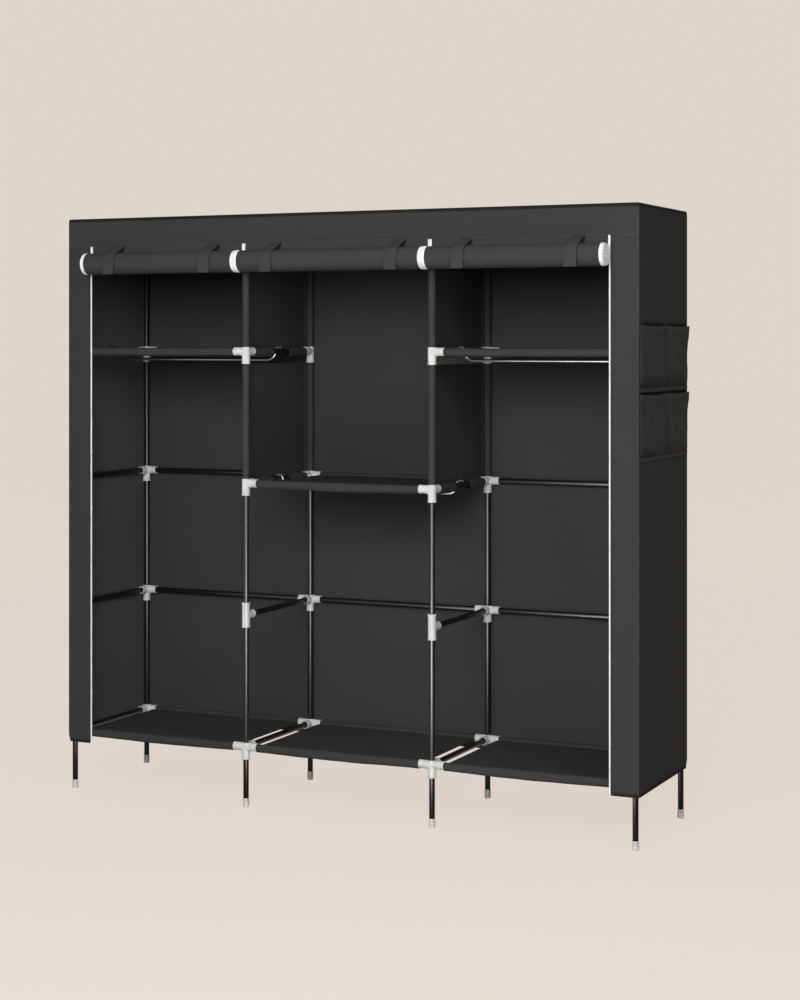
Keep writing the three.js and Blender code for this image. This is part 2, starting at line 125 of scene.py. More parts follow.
class Solid:
    """Points in millimetres and the faces between them."""

    def __init__(self):
        self.points = []
        self.faces = []

    def rings(self, rings, caps=True):
        start, n = len(self.points), len(rings[0])
        for ring in rings:
            self.points.extend(ring)
        for i in range(len(rings) - 1):
            a, b = start + i * n, start + (i + 1) * n
            for j in range(n):
                k = (j + 1) % n
                self.faces.append((a + j, a + k, b + k, b + j))
        if caps:
            last = start + (len(rings) - 1) * n
            self.faces.append(tuple(start + j for j in reversed(range(n))))
            self.faces.append(tuple(last + j for j in range(n)))
        return self

    def lathe(self, origin, axis, profile, sides, gusset=lambda t: 0.0):
        """Turns (distance, radius) pairs about an axis; gusset(distance) lowers the underside."""
        along = np.eye(3)["xyz".index(axis[-1])] * (-1 if axis[0] == "-" else 1)
        up = np.eye(3)[1 if axis == "z" else 2]
        side = np.cross(along, up)
        angles = [2 * pi * k / sides for k in range(sides)]
        return self.rings([[np.array(origin) + along * t + side * (r * cos(a))
                            + up * (r * sin(a) + min(0.0, sin(a)) * gusset(t)) for a in angles]
                           for t, r in profile])

    def sweep(self, path, radius, sides):
        """A round bar along points in one plane that holds the y direction or crosses it."""
        path = np.array(path, float)
        rings = []
        for i, p in enumerate(path):
            t = unit(path[min(i + 1, len(path) - 1)] - path[max(i - 1, 0)])
            v = unit(np.cross(t, (0, 1, 0) if abs(t[1]) < 0.9 else (0, 0, 1)))
            u = np.cross(v, t)
            r = radius[i] if hasattr(radius, "__len__") else radius
            rings.append([p + r * (u * cos(a) + v * sin(a))
                          for a in np.linspace(0, 2 * pi, sides, endpoint=False)])
        return self.rings(rings)

    def cloth(self, rows, thickness=CLOTH, toward=CENTRE):
        """A closed sheet whose outer face is the grid rows. Its thickness lies towards a point, or on the
        side that a function gives."""
        p = np.array(rows, float)
        m, n = p.shape[:2]
        normal = np.cross(np.gradient(p, axis=1), np.gradient(p, axis=0))
        normal /= np.maximum(np.linalg.norm(normal, axis=2, keepdims=True), 1e-9)
        if callable(toward):
            sign = toward(p, normal)
        else:
            sign = 1.0 if (normal * (np.array(toward) - p)).sum() > 0 else -1.0
        q = p + sign * thickness * normal
        start, under = len(self.points), len(self.points) + m * n
        self.points.extend(np.concatenate((p, q)).reshape(-1, 3))
        for i in range(m - 1):
            for j in range(n - 1):
                a, b = i * n + j, (i + 1) * n + j
                self.faces.append((start + a, start + a + 1, start + b + 1, start + b))
                self.faces.append((under + a, under + b, under + b + 1, under + a + 1))
        edge = list(range(n)) + [i * n + n - 1 for i in range(1, m)]
        edge += [(m - 1) * n + j for j in range(n - 2, -1, -1)] + [i * n for i in range(m - 2, 0, -1)]
        for k, a in enumerate(edge):
            b = edge[(k + 1) % len(edge)]
            self.faces.append((start + b, start + a, under + a, under + b))
        return self

    def block(self, centre, along, out, size):
        """A small bar with a narrower outer face, such as a stitch or a zip tooth."""
        along, out = unit(np.array(along, float)), np.array(out, float)
        across = np.cross(out, along)
        length, width, height = size
        return self.rings([[np.array(centre) + out * h + along * (s * length * a) + across * (t * width * b)
                            for s, t in ((-1, -1), (1, -1), (1, 1), (-1, 1))]
                           for h, a, b in ((0.0, 0.5, 0.5), (height, 0.42, 0.3))])

    def stitches(self, path, out):
        """A row of stitches along a path on a surface that faces out."""
        path = [np.array(p, float) for p in path]
        lengths = [np.linalg.norm(b - a) for a, b in zip(path, path[1:])]
        total, at = sum(lengths), STITCH_PITCH / 2
        while at < total:
            left, k = at, 0
            while left > lengths[k]:
                left -= lengths[k]
                k += 1
            step = path[k + 1] - path[k]
            self.block(path[k] + step * (left / lengths[k]), step, out, STITCH)
            at += STITCH_PITCH
        return self

    def make(self, name, material, slot="cloth", body="root", sharp=38, replaces=(), ride=True):
        mesh = bpy.data.meshes.new(name)
        mesh.from_pydata((np.array(self.points, float) / 1000 + SHIFT).tolist(), [], self.faces)
        bm = bmesh.new()
        bm.from_mesh(mesh)
        bmesh.ops.recalc_face_normals(bm, faces=bm.faces)
        bm.to_mesh(mesh)
        bm.free()
        mesh.shade_smooth()
        mesh.set_sharp_from_angle(angle=radians(sharp))
        mesh.materials.append(material)
        piece = bpy.data.objects.new(name, mesh)
        bpy.context.scene.collection.objects.link(piece)
        if ride:
            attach(piece, body)
        if replaces:
            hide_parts(*replaces)
        return piece


# Materials


def linear(value):
    """An sRGB level of 0 to 255 as linear light."""
    c = value / 255
    return c / 12.92 if c <= 0.04045 else ((c + 0.055) / 1.055) ** 2.4


def colour(*levels):
    """Three levels as a linear colour; one level alone is a grey."""
    return tuple(linear(v) for v in (levels * 3)[:3]) + (1.0,)


def dimmed(tone, share):
    return tuple(c * share for c in tone[:3]) + (1.0,)


class Nodes:
    """A node tree. What is put in a socket is a value or another node's output."""

    def __init__(self, tree):
        self.tree = tree

    def put(self, value, socket):
        if isinstance(value, bpy.types.NodeSocket):
            self.tree.links.new(value, socket)
        else:
            socket.default_value = value

    def add(self, kind, **values):
        node = self.tree.nodes.new(kind)
        for key, value in values.items():
            if hasattr(node, key):
                setattr(node, key, value)
            else:
                self.put(value, node.inputs[key.replace("_", " ")])
        return node

    def chain(self, kind, *values, **named):
        """A node with values in its sockets from the first on; its first output."""
        node = self.add(kind, **named)
        for value, socket in zip(values, node.inputs):
            self.put(value, socket)
        return node.outputs[0]

    def math(self, operation, a, b):
        return self.chain("ShaderNodeMath", a, b, operation=operation)

    def total(self, *parts):
        """The sum of values, each times its share."""
        result = self.math("MULTIPLY", *parts[0])
        for part in parts[1:]:
            result = self.math("ADD", result, self.math("MULTIPLY", *part))
        return result

    def ramp(self, value, low, high, out_low=0.0, out_high=1.0, **named):
        return self.add("ShaderNodeMapRange", Value=value, From_Min=low, From_Max=high, To_Min=out_low,
                        To_Max=out_high, **named).outputs["Result"]

    def tones(self, value, low, high, dark, light):
        return self.mix(self.ramp(value, low, high), colour(*dark), colour(*light))

    def mix(self, factor, a, b):
        node = self.add("ShaderNodeMix", data_type="RGBA", Factor=factor)
        for key, value in (("A", a), ("B", b)):
            self.put(value, [s for s in node.inputs if s.name == key and s.type == "RGBA"][0])
        return [s for s in node.outputs if s.type == "RGBA"][0]


class Surface(Nodes):
    """A material of one principled shader, patterned in the object's own coordinates."""

    def __init__(self, name, roughness, specular, metallic=0.0):
        self.material = bpy.data.materials.new(name)
        self.material.use_nodes = True
        super().__init__(self.material.node_tree)
        self.shader = self.tree.nodes["Principled BSDF"].inputs
        self.put(roughness, self.shader["Roughness"])
        self.put(specular, self.shader["Specular IOR Level"])
        self.put(metallic, self.shader["Metallic"])
        self.place = self.add("ShaderNodeTexCoord").outputs["Object"]

    def noise(self, scale, detail=3.0, stretch=None):
        place = self.place
        if stretch:
            place = self.add("ShaderNodeMapping", Vector=place, Scale=stretch).outputs["Vector"]
        return self.add("ShaderNodeTexNoise", Vector=place, Scale=scale, Detail=detail).outputs["Fac"]

    def cells(self, scale, randomness):
        node = self.add("ShaderNodeTexVoronoi", Vector=self.place, Scale=scale, Randomness=randomness)
        return node.outputs["Distance"]

    def height(self):
        return self.add("ShaderNodeSeparateXYZ", Vector=self.place).outputs["Z"]

    def done(self, base, relief, distance, strength, roughness=None):
        bump = self.add("ShaderNodeBump", Height=relief, Strength=strength, Distance=distance)
        self.put(base, self.shader["Base Color"])
        self.put(bump.outputs["Normal"], self.shader["Normal"])
        if roughness is not None:
            self.put(roughness, self.shader["Roughness"])
        return self.material


CLOTH_GLOSS, CLOTH_SPREAD = 0.03, 0.10


def cloth_material(name, *levels, grain=430.0, shade_bottoms=False):
    """Non-woven cloth: matted fibres with a fine grid of pressed dots."""
    n, tone = Surface(name, 0.88, CLOTH_GLOSS), colour(*levels)
    fibres = n.noise(620.0, 4.0, (1.0, 1.0, 0.35))
    pressed = n.ramp(n.cells(grain, 0.12), 0.18, 0.42)
    shade = n.total((fibres, 0.45), (n.noise(2.6), 0.40), (pressed, 0.15))
    base = n.mix(n.ramp(shade, 0.25, 0.75), dimmed(tone, 1 - CLOTH_SPREAD), dimmed(tone, 1 + CLOTH_SPREAD))
    if shade_bottoms:
        # Painted shade: each pocket row darkens in patches above its lower seam, where its cloth curves under
        below = n.math("SUBTRACT", POCKET_Z / 1000, n.height())
        along = n.math("MODULO", below, (POCKET_H + POCKET_GAP) / 1000)
        patches = n.ramp(n.noise(9.0, 2.0), 0.38, 0.62, 0.25, 0.85)
        bottom_shade = n.math("MULTIPLY", n.ramp(along, 0.135, 0.170), patches)
        base = n.mix(bottom_shade, base, dimmed(tone, 0.45))
    relief = n.total((pressed, 0.7), (fibres, 0.5))
    return n.done(base, relief, 0.00035, 0.35, n.ramp(fibres, 0.2, 0.8, 0.80, 0.96))


def lining_material():
    """The pockets' backing: dark with painted shade up to the upper mouths, and as light as the cover a little
    above them.
    """
    n = Surface("pocket_lining", 0.9, CLOTH_GLOSS)
    fibres, mouth_z = n.noise(620.0), POCKET_Z / 1000
    shadow_fade = n.ramp(n.height(), mouth_z + 0.001, mouth_z + 0.011)
    shade = n.math("MULTIPLY", shadow_fade, n.ramp(fibres, 0.2, 0.8, 0.92, 1.0))
    return n.done(n.mix(shade, colour(18), colour(49)), fibres, 0.0003, 0.3)


def steel_material(name, dark, light, rough, specular=0.27, metallic=0.0):
    """Coated steel with a fine orange-peel skin and faint rubs."""
    n = Surface(name, rough, specular, metallic)
    wear = n.noise(9.0)
    base = n.tones(wear, 0.3, 0.75, (dark, dark, dark + 1), (light, light, light + 1))
    roughness = n.ramp(wear, 0.3, 0.8, rough - 0.03, rough + 0.03)
    return n.done(base, n.noise(900.0, 2.0), 0.00003, 0.12, roughness)


def plastic_material():
    """Off-white moulded plastic with faint flow marks and a little grime."""
    n = Surface("off_white_plastic", 0.42, 0.07)
    flow = n.noise(70.0, 4.0, (1.0, 1.0, 0.4))
    base = n.tones(flow, 0.3, 0.7, (203, 203, 202), (225, 225, 223))
    return n.done(base, n.noise(1400.0, 2.0), 0.00005, 0.2, n.ramp(flow, 0.3, 0.7, 0.30, 0.46))


def zip_material():
    n = Surface("white_zip_tape", 0.55, 0.1)
    base = n.tones(n.noise(24.0), 0.3, 0.7, (240, 240, 237), (250, 250, 249))
    return n.done(base, n.cells(900.0, 0.05), 0.0002, 0.3)


# Dark cloth for painted shade on the straps: the undersides of their slopes and their edges
def strap_shade_material():
    n = Surface("strap_painted_shade", 0.8, 0.3)
    ribs = n.add("ShaderNodeTexWave", bands_direction="X", Vector=n.place, Scale=160.0, Distortion=0.4,
                 Detail=1.0)
    fibres = n.noise(800.0)
    base = n.tones(fibres, 0.3, 0.7, (20, 20, 21), (30, 30, 31))
    return n.done(base, n.total((ribs.outputs["Fac"], 0.8), (fibres, 0.3)), 0.0004, 0.4)


def speckled_material(name, roughness, specular, grain, span, dark, light, distance, strength):
    """One noise for both the tone and the relief."""
    n = Surface(name, roughness, specular)
    speck = n.noise(*grain)
    return n.done(n.tones(speck, *span, dark, light), speck, distance, strength)


# The cover is one cloth: the front, the left wall and the back get lighter copies of its tone, painted light
# that evens out how the lamps fall on them
COVER = cloth_material("cover_cloth", 53)
FRONT = cloth_material("front_cloth_painted_light", 59)
WALL = cloth_material("left_wall_cloth_painted_light", 81)
INSIDE = cloth_material("divider_cloth", 63)
SHELF = cloth_material("shelf_cloth", 59)
DOOR = cloth_material("door_cloth", 63)
BINDING = cloth_material("binding_tape", 36, 35, 35, grain=800.0)
# Lighter than the cover: painted highlight on the header's folded edge and the corner seams
SEAM_HIGHLIGHT = cloth_material("seam_painted_highlight", 72, grain=1100.0)
THREAD = cloth_material("sewing_thread", 60, grain=1500.0)
BACK = cloth_material("back_cloth", 61)
POCKET = cloth_material("pocket_cloth", 57, shade_bottoms=True)
POCKET_HEM = cloth_material("pocket_hem_cloth", 62, grain=700.0)
LINING = lining_material()
STRAP = cloth_material("strap_cloth", 64, grain=700.0)
STEEL = steel_material("black_powder_coat", 13, 18, 0.38)
# The legs are the frame's own coated steel; this darker, duller copy of its coat is painted shade
LEG_STEEL_SHADED = steel_material("black_powder_coat_painted_shade", 11, 15, 0.33, 0.10)
ROD_STEEL = steel_material("dark_plated_steel", 104, 120, 0.34, metallic=0.95)
PLASTIC, ZIP, STRAP_SHADE = plastic_material(), zip_material(), strap_shade_material()
FOOT = speckled_material("grey_foot_rubber", 0.5, 0.45, (420.0, 4.0), (0.35, 0.7), (204, 205, 203),
                         (224, 225, 223), 0.0002, 0.3)
TIP = speckled_material("black_end_cap", 0.5, 0.5, (500.0, 3.0), (0.0, 1.0), (14, 14, 15), (26, 26, 27),
                        0.0001, 0.3)
TEETH = speckled_material("zip_teeth", 0.4, 0.2, (60.0, 3.0), (0.3, 0.7), (116,), (150, 150, 149),
                          0.0001, 0.2)


# Frame: uprights, depth tubes, rails, connectors and foot caps

SIDES = 28  # of a tube's or connector's round section
SOCKET = 17.0
WEB, WEB_FLAT, WEB_FADE = 3.6, 12.5, 2.4  # the gusset under an arm: depth, straight part and run-out
RAIL_END = 15.3  # from a column's axis to a rail's end in its socket
LEG_START, FOOT_SIDES, FOOT_RIB = 5.0, 48, 0.22
FOOT_PROFILE = ((0.0, 7.6), (0.5, 8.7), (1.6, 9.3), (3.0, 9.5), (23.0, 9.2), (24.0, 9.8), (26.2, 9.8),
                (27.0, 9.3), (27.0, 8.7), (24.0, 8.55))


def tube(name, origin, axis, start, end, replaces=(), material=STEEL):
    ends = [(0.0, TUBE_R - 1.0), (0.6, TUBE_R - 0.3), (1.4, TUBE_R)]
    profile = [(start + t, r) for t, r in ends] + [(end - t, r) for t, r in ends[::-1]]
    return Solid().lathe(origin, axis, profile, SIDES).make(name, material, "steel", replaces=replaces)


def mouth(end):
    """The profile of a moulded arm with a thick rim, open at its end down to a floor inside."""
    r, rim = JOINT_R - 0.9, JOINT_R - 0.05
    return [(0.0, r), (end - 7.0, r), (end - 4.6, rim - 0.25), (end - 3.4, rim), (end - 0.9, rim),
            (end - 0.2, rim - 0.5), (end, rim - 1.1), (end - 0.3, rim - 1.8), (end - 1.4, rim - 2.2),
            (end - SOCKET, rim - 2.5)]


def connector(column, row, level):
    at, r = (COLUMN_X[column], ROWS[row] * ROW_Y, LEVEL_Z[level]), JOINT_R - 0.7
    if row == "front" and level == "lower":
        above = mouth(DROP)[1:]
    elif level == "top":
        above = [(CROWN - 3.4, r), (CROWN - 1.0, r - 0.8), (CROWN - 0.2, r - 2.8), (CROWN, 4.0)]
    else:
        above = [(CROWN - 1.6, r), (CROWN - 0.5, r - 0.4), (CROWN, r - 1.2), (CROWN - 0.3, r - 2.0),
                 (CROWN - 1.2, r - 2.3), (CROWN - 7.0, r - 2.5)]
    # The hem hides the lowest connectors of the end columns
    drop = DROP - 6.5 if level == "bottom" and column in (0, 3) else DROP
    below = [(-t, radius) for t, radius in mouth(drop)][:0:-1]
    solid = Solid().lathe(at, "z", below + above, SIDES)

    def gusset(t):
        return WEB * exp(min(0.0, WEB_FLAT - t) / WEB_FADE)

    arms, bays = ["y" if row == "front" else "-y"], RAILS[row].get(level, [])
    arms += [axis for axis, i in (("x", column), ("-x", column - 1)) if 0 <= i < 3 and BAYS[i] in bays]
    arm = mouth(REACH)
    body = [(t, r) for t in (4.0, 12.5, 13.5, 14.8, 16.5, 19.0, 23.0)]
    for axis in arms:
        solid.lathe(at, axis, arm[:1] + body + arm[1:], SIDES, gusset)
    return solid.make(f"connector_{row}_{level}_{COLUMNS[column]}", PLASTIC, "connector")


def foot_cap(column, row):
    x, y = COLUMN_X[column], ROWS[row] * ROW_Y
    rings = []
    for t, r in FOOT_PROFILE:
        ribbed = [(2 * pi * k / FOOT_SIDES, r + FOOT_RIB * (k % 3 == 0 and 3.0 <= t <= 23.0))
                  for k in range(FOOT_SIDES)]
        rings.append([(x + out * cos(a), y + out * sin(a), t) for a, out in ribbed])
    return Solid().rings(rings).make(f"foot_cap_{row}_{COLUMNS[column]}", FOOT, "connector", sharp=30)


def build_frame():
    for i, column in enumerate(COLUMNS):
        for row, side in ROWS.items():
            node = (COLUMN_NODES[i],) if row == "front" else ()
            foot = (COLUMN_X[i], side * ROW_Y, 0)
            tube(f"upright_{row}_{column}", foot, "z", BOTTOM_Z, TOP_Z + 4.0, node)
            tube(f"leg_{row}_{column}", foot, "z", LEG_START, BOTTOM_Z, material=LEG_STEEL_SHADED)
            foot_cap(i, row)
            for level in LEVEL_Z:
                connector(i, row, level)
        for level, z in LEVEL_Z.items():
            tube(f"depth_tube_{level}_{column}", (COLUMN_X[i], 0, z), "y", -ROW_Y + 5, ROW_Y - 5)
    half = PITCH / 2 - RAIL_END
    for row, levels in RAILS.items():
        for level, bays in levels.items():
            for bay in bays:
                tube(f"cross_tube_{row}_{level}_{bay}", (BAY_X[bay], ROWS[row] * ROW_Y, LEVEL_Z[level]), "x",
                     -half, half, (f"rail_{row}_{level}_{bay}",))


# Cover: sewn panels that turn round soft corners

FL, BL, BR, FR = (-1, -1), (-1, 1), (1, 1), (1, -1)
EDGE_R, WRAP_R, TOP_R = 5.0, 14.6, 5.0
GATHER = {FL: 1.0, BL: 0.9, BR: 0.9, FR: 0.25}
GATHER_H = 26  # how far above the hem a corner is gathered
TAPE = 0.5  # the thickness of bindings and folds
WALLS = {
    "side_left": ((FL, 225, 180), (BL, 180, 135), 22, (-1, 0)),
    "back": ((BL, 135, 90), (BR, 90, 45), 66, (0, 1)),
    "side_right": ((BR, 45, 0), (FR, 0, -45), 22, (1, 0)),
    "header": ((FL, 225, 270), (FR, 270, 315), 66, (0, -1)),
    "strip_left": ((-STRIP_X,), (FL, 270, 225), 6, (0, -1)),
    "strip_right": ((STRIP_X,), (FR, 270, 315), 6, (0, -1)),
}
Z_STOPS = [HEM_Z] + list(LEVEL_Z.values()) + [HEIGHT]


def corner_points(corner, first, last, z, out, count=5):
    """A rounded vertical corner in plan; near the hem it draws in round the connector."""
    r = EDGE_R + (WRAP_R - EDGE_R) * GATHER[corner] * smooth((HEM_Z + GATHER_H - z) / GATHER_H)
    cx, cy = corner[0] * (HALF_W - r), corner[1] * (HALF_D - r)
    return [(cx + (r + out) * cos(a), cy + (r + out) * sin(a))
            for a in np.radians(np.linspace(first, last, count))]


def between(value, stops):
    """A bump that is zero at each stop and one halfway between two of them."""
    for a, b in zip(stops, stops[1:]):
        if a <= value <= b:
            return sin(pi * (value - a) / (b - a)) ** 2
    return 0.0


def door_span(bay):
    i = BAYS.index(bay)
    start = -DOOR_X + CLEAR if i == 0 else COLUMN_X[i] + DOOR_GAP
    end = DOOR_X - CLEAR if i == 2 else COLUMN_X[i + 1] - DOOR_GAP
    return start, end


def strap_edges(bay):
    """Where the right edges of a door's two straps lie."""
    start, end = door_span(bay)
    return [start + share * (end - start) for share in STRAP_EDGES[bay]]


def strap_spans():
    """The stretches of the header that the straps lie in front of when they are open."""
    return [(edge - STRAP_W - 3, edge + 3) for bay in BAYS for edge in strap_edges(bay)]


def beside_straps(z, out):
    """The header's line at a height, in the pieces between the straps."""
    line = plan_line("header", z, out)
    xs, ys = [p[0] for p in line], [p[1] for p in line]
    stops = [xs[0]] + [edge for span in strap_spans() for edge in span] + [xs[-1]]
    pieces = []
    for low, high in zip(stops[::2], stops[1::2]):
        across = [low] + [x for x in xs if low < x < high] + [high]
        pieces.append([(x, float(np.interp(x, xs, ys)), z) for x in across])
    return pieces


def swell(name, x, y, z):
    """How far a wall's cloth stands out from flat, in millimetres."""
    slack = between(z, Z_STOPS)
    if name == "back":
        loose = between(x, [-HALF_W] + COLUMN_X[1:3] + [HALF_W])
        return 2.6 * slack * loose + ripple(x, y, z, 260, 1.6, 3.0) * loose
    if name.startswith("side"):
        loose = between(y, [-HALF_D, HALF_D])
        return -1.2 * slack * loose + ripple(x, y, z, 210, 0.9, 7.0) * loose
    if name == "header":
        beside = min(smooth((max(a - x, x - b) - 28) / 25) for a, b in strap_spans())
        return (0.5 + ripple(x, y, z, 160, 0.7, 5.0)) * beside
    return 0.35 + ripple(x, y, z, 130, 0.6, 9.0)


def plan_line(name, z, out):
    """A wall's line in plan at a height, out millimetres off the cover's face."""
    first, last, count, facing = WALLS[name]
    whole = len(first) == 3
    head = corner_points(*first, z, out) if whole else [(first[0], -HALF_D - out)]
    tail = corner_points(*last, z, out)
    p, q = np.array(head[-1]), np.array(tail[0])
    line = list(head)
    for k in range(1, count):
        at = p + (q - p) * k / count
        fade = min(1.0, 4 * min(k, count - k) / count if whole else 3 * (count - k) / count)
        line.append(tuple(at + np.array(facing) * swell(name, at[0], at[1], z) * fade))
    return line + list(tail)


def contours(wall, levels):
    """A wall's lines at pairs of height and offset."""
    return [[(x, y, z) for x, y in plan_line(wall, z, out)] for z, out in levels]


def over_edge(out, *degrees):
    """The heights and offsets at which a wall turns over the roof's edge."""
    return [(HEIGHT - TOP_R + (TOP_R + out) * sin(a), (TOP_R + out) * cos(a) - TOP_R)
            for a in np.radians(degrees)]


def wall_rows(name, low, high, count):
    levels = [(low + (high - low) * k / count, 0.0) for k in range(count + 1)]
    if low == HEM_Z:
        gathered = [(HEM_Z + d, 0.0) for d in (0, 3, 6, 10, 14, 18, 22, GATHER_H)]
        levels = gathered + [p for p in levels if p[0] > HEM_Z + 32]
    if high > HEADER_Z:
        levels += over_edge(0.0, 15, 30, 45)
    return contours(name, levels)


def sheet_piece(name, rows, material, node=(), slot="cloth", body="root",
                thickness=CLOTH, toward=CENTRE, ride=True):
    piece = Solid().cloth(rows, thickness, toward).make(name, material, slot, body, 50, node, ride)
    return piece


def roof_rows():
    def lines(half, count):
        inner = np.linspace(-half + TOP_R, half - TOP_R, count)
        edge = [half - TOP_R * (1 - cos(a)) for a in np.radians((45, 60, 78))]
        return [-e for e in edge] + list(inner) + edge[::-1]
    rows = []
    for y in lines(HALF_D, 15):
        row = []
        for x in lines(HALF_W, 61):
            d = min(HALF_W - abs(x), HALF_D - abs(y), TOP_R)
            z = HEIGHT - TOP_R + sqrt(TOP_R ** 2 - (TOP_R - d) ** 2)
            loose = between(x, COLUMN_X) * between(y, [-ROW_Y, ROW_Y])
            row.append((x, y, z - 3.6 * loose + ripple(x, y, z, 150, 0.5, 11.0) * min(1, loose * 3)))
        rows.append(row)
    return rows


def build_cover():
    sheet_piece("roof_cloth", roof_rows(), COVER, ("cover_top",))
    for wall, name, cloth, width in (("side_left", "side_cloth_left", WALL, 0.46),
                                     ("back", "back_cloth", BACK, 1.90),
                                     ("side_right", "side_cloth_right", COVER, 0.46)):
        sheet_piece(name, wall_rows(wall, HEM_Z, HEIGHT - TOP_R, 60), cloth,
                    (f"cover_{wall}",))
    sheet_piece("header_cloth", wall_rows("header", HEADER_Z, HEIGHT - TOP_R, 8), FRONT,
                ("cover_header",))
    for side in ("left", "right"):
        sheet_piece(f"front_strip_{side}", wall_rows(f"strip_{side}", HEM_Z, HEADER_Z - CLEAR, 56), FRONT,
                    (f"cover_strip_{side}",))
    # The header's folded edge, binding over the hem and the roof's seam, and a seam at each upright corner
    walls, strips = ("side_left", "back", "side_right"), ("strip_left", "strip_right")
    fold, hem, brim, seams, edge = Solid(), Solid(), Solid(), Solid(), Solid()
    levels = ((HEADER_Z + 0.1, -0.3), (HEADER_Z + 0.1, 0.8), (HEADER_Z + 2.4, 0.9), (HEADER_Z + 3.0, 0.2))
    for rows in zip(*(beside_straps(z, out) for z, out in levels)):
        fold.cloth(rows, TAPE)
    fold.make("header_fold", SEAM_HIGHLIGHT)
    levels = ((-0.8, -0.6), (-0.8, 0.5), (3.5, 0.75), (8.0, 0.7), (8.6, 0.1))
    for wall in strips[:1] + walls + strips[1:]:
        hem.cloth(contours(wall, [(HEM_Z + up, out) for up, out in levels]), TAPE)
    hem.make("hem_binding", BINDING)
    levels = [(HEIGHT - 9.5, 0.15), (HEIGHT - 9.0, 0.8), (HEIGHT - TOP_R, 0.8)] + over_edge(0.8, 25, 50, 75)
    for wall in ("header",) + walls:
        brim.cloth(contours(wall, levels), TAPE)
    brim.make("roof_binding", BINDING)
    heights = [*np.linspace(HEM_Z + 1, HEM_Z + GATHER_H, 8), *np.linspace(HEM_Z + 60, HEIGHT - 10, 40)]
    for corner, mid in ((FL, 225), (BL, 135), (BR, 45), (FR, 315)):
        path = [(*corner_points(corner, mid, mid, z, 0.25, 1)[0], z) for z in heights]
        (edge if corner == BR else seams).sweep(path, 1.25 + 0.6 * (corner == BR), 8)
    seams.make("corner_seams", SEAM_HIGHLIGHT)
    edge.make("corner_binding", BINDING)
    thread, front = Solid(), (0, -1, 0)
    for path in beside_straps(HEADER_Z + 6, 0.1):
        thread.stitches([p for p in path if abs(p[0]) < 930], front)
    for s in (-1, 1):
        thread.stitches([(s * (STRIP_X + 5), -HALF_D - 0.55, z) for z in (165, 700, 1200, 1700)], front)
    # Each row of stitches: walls, the height of its line and of the stitches, and its offset
    for names, z, out in ((("header",) + walls, HEIGHT - 7, 0.85), (walls + strips, HEM_Z + 6.3, 0.75)):
        for wall in names:
            thread.stitches(contours(wall, [(z, out)])[0], WALLS[wall][3] + (0,))
    thread.make("cover_stitching", THREAD)


ZIP_HIDDEN = 2.4  # of the tape, under the strip's fold
TOOTH_PITCH, TOOTH, ROLL_TOOTH = 3.0, (3.4, 2.1, 0.9), (3.2, 2.4, 0.8)


def build_zips():
    def column(s, low, points):
        """A strip of front cloth or tape, given by its distances from the middle and off the front."""
        return [[(s * x, -HALF_D - out, z) for x, out in points] for z in np.linspace(low, HEADER_Z - 1, 40)]

    for side, s in (("left", -1), ("right", 1)):
        tape = [(ZIP_X - 0.1, 0.1), (ZIP_X + 3.0, 0.1), (STRIP_X - 0.3, 0.1)]
        solid = Solid().cloth(column(s, HEM_Z, tape), 1.3)
        z = HEM_Z + 2.0
        while z < HEADER_Z - 3:
            solid.block((s * (ZIP_X + 1.7), -HALF_D + 0.55, z), (s, 0, 0), (0, -1, 0), TOOTH)
            z += TOOTH_PITCH
        solid.make(f"zip_{side}", ZIP, "zip", replaces=(f"zip_tape_{side}",))
        # The strip's folded edge lies over the outer part of the tape
        edge = STRIP_X - ZIP_HIDDEN
        fold = [(edge, 0.5), (edge, 1.0), (STRIP_X + 1.5, 1.0), (STRIP_X + 2.2, 0.2)]
        Solid().cloth(column(s, HEM_Z + 0.5, fold), TAPE).make(f"strip_fold_{side}", FRONT)


# Doors: the part that hangs behind the roll, the rolled cloth and its white zip ends

TURN_STEPS = 40
ZIP_END, ZIP_END_OUTER, ZIP_END_RIGHT, PARTING_FILL = 7.5, 11.0, 7.0, 2.6
OVER_ZIP, OVER_LESS = 4.5, 1.9  # the right roll's end lies in front of the zip tape, a little narrower
ROLL_SEED = 7.3


def winding():
    """(angle, radius, turn) of the rolled cloth's outer face, from the hanging part inwards."""
    turns = (ROLL_R - ROLL_CORE) / LAYER - 1
    return [(-2 * pi * k / TURN_STEPS, ROLL_R - k / TURN_STEPS * LAYER, k / TURN_STEPS)
            for k in range(int(turns * TURN_STEPS) + 1)]


def roll_solid(stations, straps, seed, narrower=(0.0,) * 3):
    """The spiral section at each station, with a closed strip at both ends.

    The end pieces can get narrower from station to station."""
    rings = []
    for x, less in itertools.zip_longest(stations, narrower, fillvalue=0.0):
        outer, inner = [], []
        for angle, radius, turn in winding():
            fade = max(0.0, 1 - turn / 1.1)
            lump = 0.35 * fade * (1 + wave(x / 95 + seed, cos(angle), sin(angle)))
            for edge in straps:
                lump -= 0.75 * fade * exp(-((x - edge + STRAP_W / 2) / (STRAP_W * 0.55)) ** 4)
            lump = max(lump, -0.25)
            for r, line in ((radius + lump - less, outer), (radius - CLOTH + 0.6 * lump - less, inner)):
                line.append((x, ROLL_Y + r * cos(angle), ROLL_Z + r * sin(angle)))
        rings.append(outer + inner[::-1])
    solid, n = Solid().rings(rings, caps=False), len(rings[0])
    for base in (0, (len(rings) - 1) * n):
        for k in range(n // 2 - 1):
            solid.faces.append((base + k, base + k + 1, base + n - 2 - k, base + n - 1 - k))
    return solid


